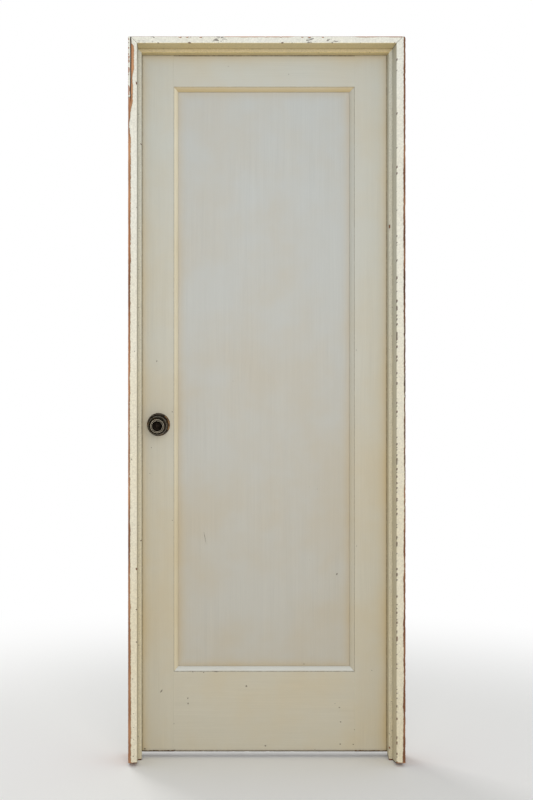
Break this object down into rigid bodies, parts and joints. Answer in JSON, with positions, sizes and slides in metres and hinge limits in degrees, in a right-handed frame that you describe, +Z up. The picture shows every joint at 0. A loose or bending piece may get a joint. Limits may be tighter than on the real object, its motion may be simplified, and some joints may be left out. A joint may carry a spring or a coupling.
{
  "type": "interior door with frame",
  "caption": "Single-panel painted wood interior door hung in its own jamb frame, with stops, butt hinges, round knobs and a spring latch.",
  "frame": {"origin": "on the floor, under the middle of the frame's width and of the depth from the front edge to the rear knob", "axes": "+Z up, +X towards the hinges, -Y towards the side with the stops, +Y the side that the door opens to"},
  "size_m": [0.7666, 0.196, 2.018],
  "materials": {
    "frame_paint": "old cream paint on pine, chipped at the edges",
    "door_paint": "old cream paint on pine, satin, brush marks",
    "knob_bronze": "dark aged bronze, satin",
    "plate_metal": "dull aged brass",
    "bolt_brass": "worn brass",
    "hinge_metal": "steel painted over with the door, worn at the knuckles",
    "inner_steel": "plain steel"
  },
  "bodies": {
    "frame": {"strike_jamb": "frame_paint", "hinge_jamb": "frame_paint", "head_jamb": "frame_paint", "strike_stop": "frame_paint", "hinge_stop": "frame_paint", "head_stop": "frame_paint", "corner_nails": "inner_steel", "stop_nails": "inner_steel", "strike_plate": "plate_metal", "strike_screws": "inner_steel", "top_hinge_jamb_leaf": "hinge_metal", "middle_hinge_jamb_leaf": "hinge_metal", "bottom_hinge_jamb_leaf": "hinge_metal", "top_hinge_pin": "hinge_metal", "middle_hinge_pin": "hinge_metal", "bottom_hinge_pin": "hinge_metal", "hinge_tips": "hinge_metal", "jamb_leaf_screws": "hinge_metal"},
    "door": {"lock_stile": "door_paint", "hinge_stile": "door_paint", "top_rail": "door_paint", "bottom_rail": "door_paint", "door_panel": "door_paint", "top_hinge_door_leaf": "hinge_metal", "middle_hinge_door_leaf": "hinge_metal", "bottom_hinge_door_leaf": "hinge_metal", "door_leaf_screws": "hinge_metal", "latch_case": "inner_steel", "latch_faceplate": "plate_metal", "latch_screws": "inner_steel", "front_rose": "knob_bronze", "back_rose": "knob_bronze", "rose_bolts": "inner_steel"},
    "knobs": {"front_knob": "knob_bronze", "back_knob": "knob_bronze", "knob_spindle": "inner_steel", "knob_set_screws": "inner_steel", "latch_hub": "inner_steel"},
    "bolt": {"latch_bolt": "bolt_brass"}
  },
  "joints": [
    {"name": "door_swing", "type": "hinge", "parent": "frame", "child": "door", "pos_m": [0.3565, 0.0386, 1], "axis": [0, 0, -1], "range_deg": [0, 170]},
    {"name": "knob_turn", "type": "hinge", "parent": "door", "child": "knobs", "pos_m": [-0.3003, 0.0145, 0.942], "axis": [0, 1, 0], "range_deg": [0, 70], "stiffness_Nm_per_rad": 0.2},
    {"name": "latch_slide", "type": "slide", "parent": "door", "child": "bolt", "axis": [1, 0, 0], "range_m": [0, 0.0095], "stiffness_N_per_m": 150}
  ],
  "couplings": [
    {"joint": "latch_slide", "follows": "knob_turn", "m_per_rad": 0.00777}
  ]
}
